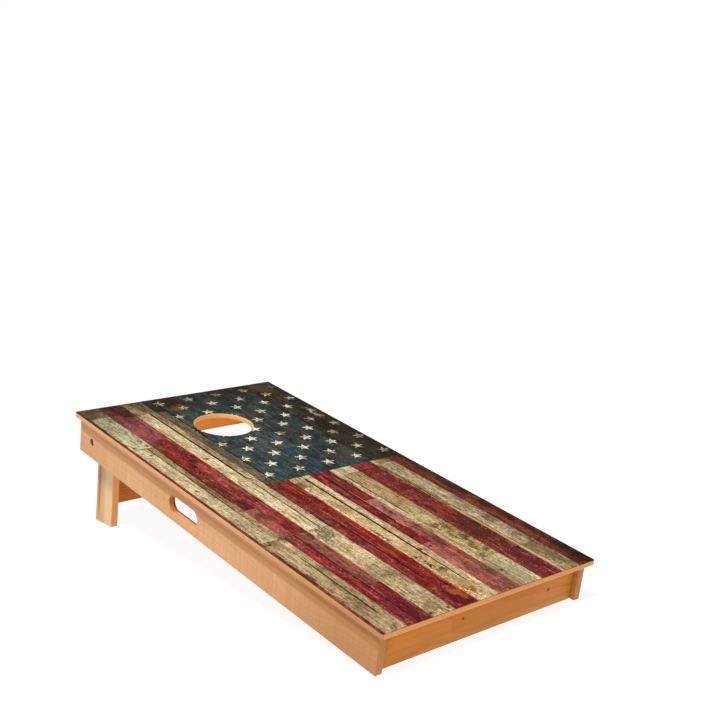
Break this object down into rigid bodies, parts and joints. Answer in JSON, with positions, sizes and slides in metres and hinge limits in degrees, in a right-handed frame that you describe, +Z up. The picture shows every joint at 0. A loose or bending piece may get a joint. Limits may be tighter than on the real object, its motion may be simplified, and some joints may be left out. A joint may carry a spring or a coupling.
{
  "type": "cornhole board",
  "caption": "Tilted bag-toss board: printed plywood deck with a round hole on a pine frame with hand slots and braced folding legs.",
  "frame": {"origin": "on the ground, below the middle of the board's footprint", "axes": "+Z up, +Y towards the raised head end with the hole, +X to the right seen from the foot"},
  "size_m": [0.61, 1.2192, 0.305],
  "materials": {
    "plywood": "bare sanded plywood, clear sealed edges",
    "printed_film": "satin print of weathered red, cream and navy planks with stars",
    "rail_pine": "light pine under clear satin varnish",
    "end_rail_pine": "warm knotty pine under clear satin varnish",
    "leg_pine": "light pine under clear satin varnish",
    "brace_pine": "warm pine under clear satin varnish",
    "inner_pine": "bare planed pine",
    "dowel_beech": "bare fluted beech",
    "zinc_steel": "bright zinc plate",
    "screw_steel": "yellow zinc plate"
  },
  "bodies": {
    "board": {"deck": "plywood", "deck_print": "printed_film", "side_rail_left": "rail_pine", "side_rail_right": "rail_pine", "foot_rail": "end_rail_pine", "head_rail": "end_rail_pine", "side_cleat_left_front": "inner_pine", "side_cleat_left_rear": "inner_pine", "side_cleat_right_front": "inner_pine", "side_cleat_right_rear": "inner_pine", "foot_cleat": "inner_pine", "head_cleat": "inner_pine", "cross_support": "inner_pine", "pivot_block_left": "inner_pine", "pivot_block_right": "inner_pine", "pivot_bolt_left": "zinc_steel", "pivot_bolt_right": "zinc_steel", "bolt_washer_left": "zinc_steel", "bolt_washer_right": "zinc_steel", "leg_washer_left": "zinc_steel", "leg_washer_right": "zinc_steel", "nut_washer_left": "zinc_steel", "nut_washer_right": "zinc_steel", "lock_nut_left": "zinc_steel", "lock_nut_right": "zinc_steel", "block_screw_left_1": "screw_steel", "block_screw_left_2": "screw_steel", "block_screw_right_1": "screw_steel", "block_screw_right_2": "screw_steel", "dowel_foot_left_upper": "dowel_beech", "dowel_foot_left_lower": "dowel_beech", "dowel_foot_right_upper": "dowel_beech", "dowel_foot_right_lower": "dowel_beech", "dowel_head_left_upper": "dowel_beech", "dowel_head_left_lower": "dowel_beech", "dowel_head_right_upper": "dowel_beech", "dowel_head_right_lower": "dowel_beech", "deck_screw_left_front_1": "screw_steel", "deck_screw_left_front_2": "screw_steel", "deck_screw_left_rear_1": "screw_steel", "deck_screw_left_rear_2": "screw_steel", "deck_screw_right_front_1": "screw_steel", "deck_screw_right_front_2": "screw_steel", "deck_screw_right_rear_1": "screw_steel", "deck_screw_right_rear_2": "screw_steel", "deck_screw_foot_1": "screw_steel", "deck_screw_foot_2": "screw_steel", "deck_screw_head_1": "screw_steel", "deck_screw_head_2": "screw_steel"},
    "leg_frame": {"leg_left": "leg_pine", "leg_right": "leg_pine", "leg_brace": "brace_pine", "brace_dowel_left_upper": "dowel_beech", "brace_dowel_left_lower": "dowel_beech", "brace_dowel_right_upper": "dowel_beech", "brace_dowel_right_lower": "dowel_beech"}
  },
  "joints": [
    {"name": "leg_fold", "type": "hinge", "parent": "board", "child": "leg_frame", "pos_m": [0, 0.52624, 0.23482], "axis": [-1, 0, 0], "range_deg": [0, 90]}
  ]
}
